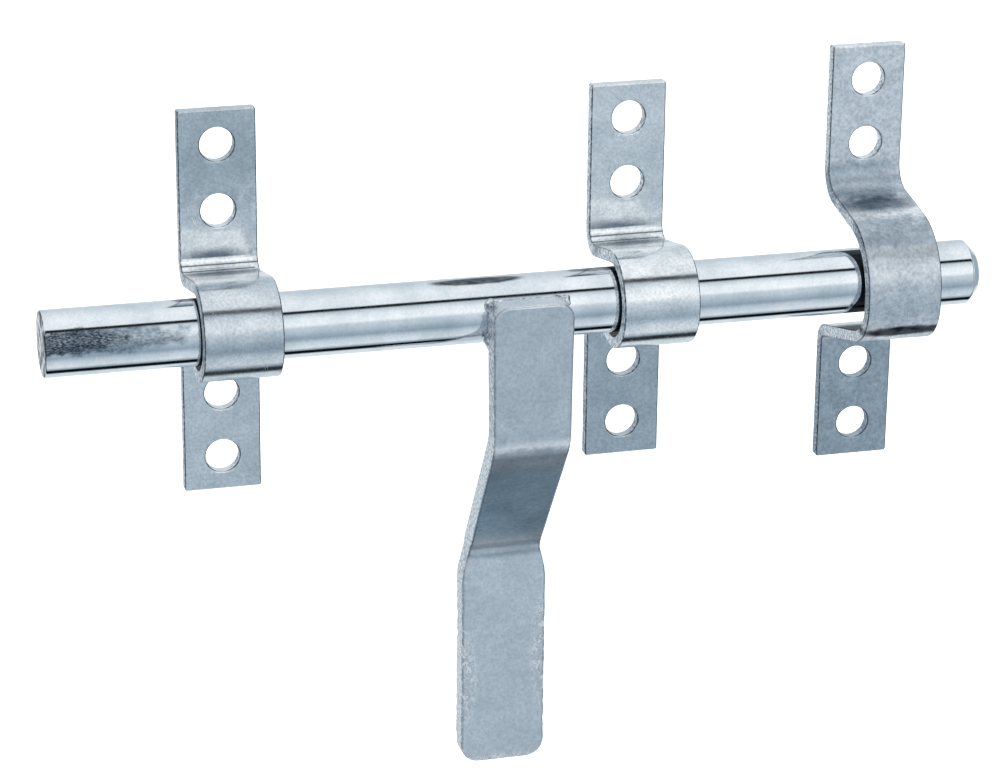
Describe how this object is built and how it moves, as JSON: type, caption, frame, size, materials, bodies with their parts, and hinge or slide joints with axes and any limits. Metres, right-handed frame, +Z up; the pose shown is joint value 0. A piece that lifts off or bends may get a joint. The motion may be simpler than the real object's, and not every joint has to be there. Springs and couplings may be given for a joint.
{
  "type": "sliding door bolt",
  "caption": "Round sliding bolt rod with a flat cranked drop handle, held by bent guide straps and thrown into a bent keeper strap.",
  "frame": {"origin": "centre of the inner guide strap, on the plane of the door's face that the straps' backs lie on", "axes": "+X along the rod, the way the bolt throws; +Y into the door; +Z up, away from the hanging handle"},
  "size_m": [0.232, 0.0366, 0.1803],
  "materials": {
    "rod_zinc": "bright zinc plate on drawn round bar",
    "handle_zinc": "satin zinc plate on forged flat bar",
    "strap_zinc": "satin zinc plate on rolled flat bar",
    "weld_zinc": "zinc plate over a rough weld bead"
  },
  "bodies": {
    "straps": {"guide_strap_outer": "strap_zinc", "guide_strap_inner": "strap_zinc", "keeper_strap": "strap_zinc"},
    "rod": {"slide_rod": "rod_zinc"},
    "handle": {"drop_handle": "handle_zinc", "weld_bead_upper": "weld_zinc", "weld_bead_lower": "weld_zinc"}
  },
  "joints": [
    {"name": "bolt_slide", "type": "slide", "parent": "straps", "child": "rod", "axis": [1, 0, 0], "range_m": [-0.048, 0.012]},
    {"name": "handle_turn", "type": "hinge", "parent": "rod", "child": "handle", "pos_m": [-0.0326, -0.0225, 0], "axis": [-1, 0, 0], "range_deg": [-2, 194]}
  ]
}
